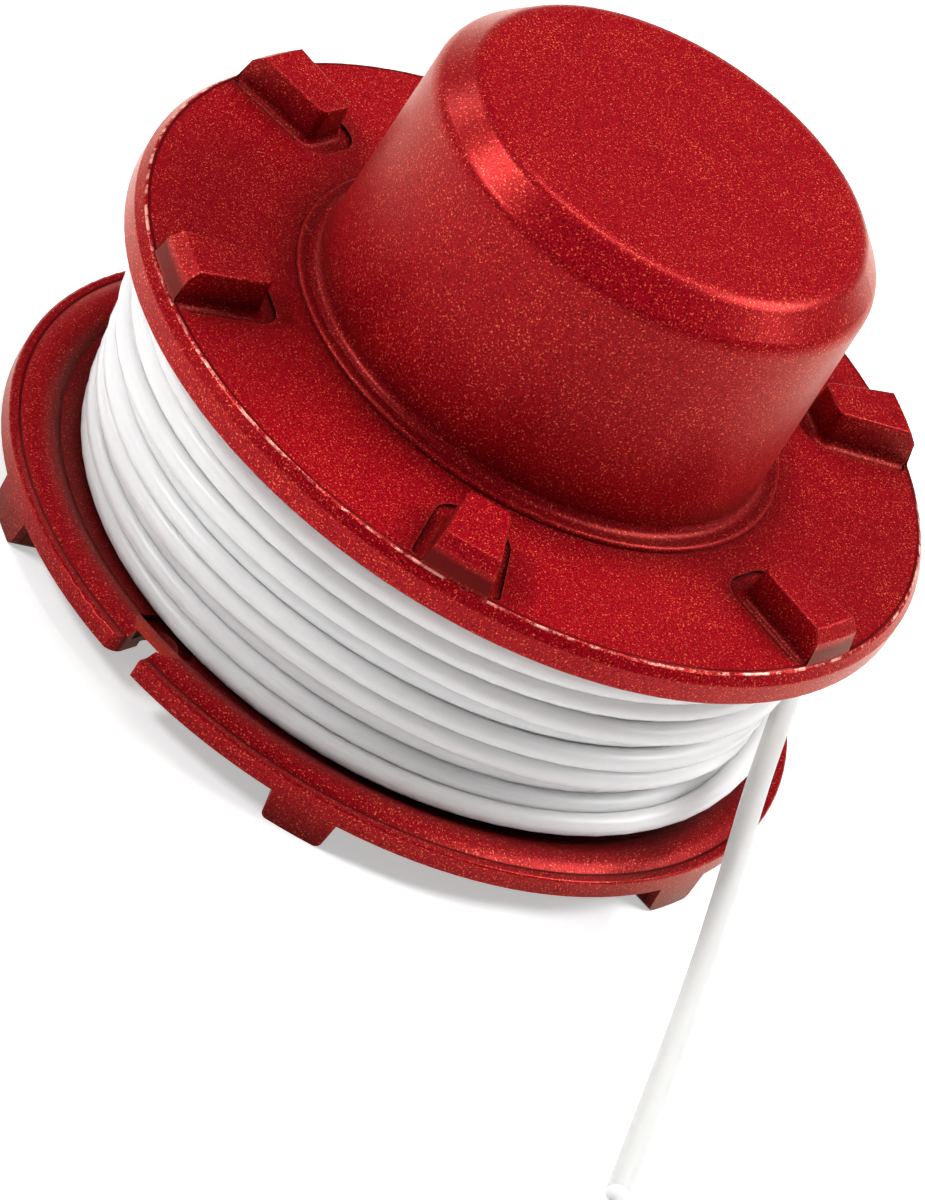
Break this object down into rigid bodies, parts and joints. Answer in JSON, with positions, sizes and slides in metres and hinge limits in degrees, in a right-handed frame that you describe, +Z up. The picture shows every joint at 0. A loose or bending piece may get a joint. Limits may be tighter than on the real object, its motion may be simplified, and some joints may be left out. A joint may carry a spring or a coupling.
{
  "type": "trimmer line spool",
  "caption": "Moulded line spool with a drum between two flanges, a hollow tap knob, drive lugs on both faces, a keyhole notch in the lower rim and a wound nylon cutting line with a free tail.",
  "frame": {"origin": "on the spool's axis, level with the undersides of the lower lugs", "axes": "+Z up the axis through the tap knob, -Y through the middle of one upper and one lower lug, towards the side where the line's tail leaves"},
  "size_m": [0.06, 0.0787, 0.0423],
  "materials": {
    "red_plastic": "fine spark-eroded grain, slightly glossy",
    "nylon_line": "smooth, slightly clear"
  },
  "bodies": {
    "root": {"spool": "red_plastic", "line_winding": "nylon_line", "line_tail": "nylon_line"}
  },
  "joints": []
}
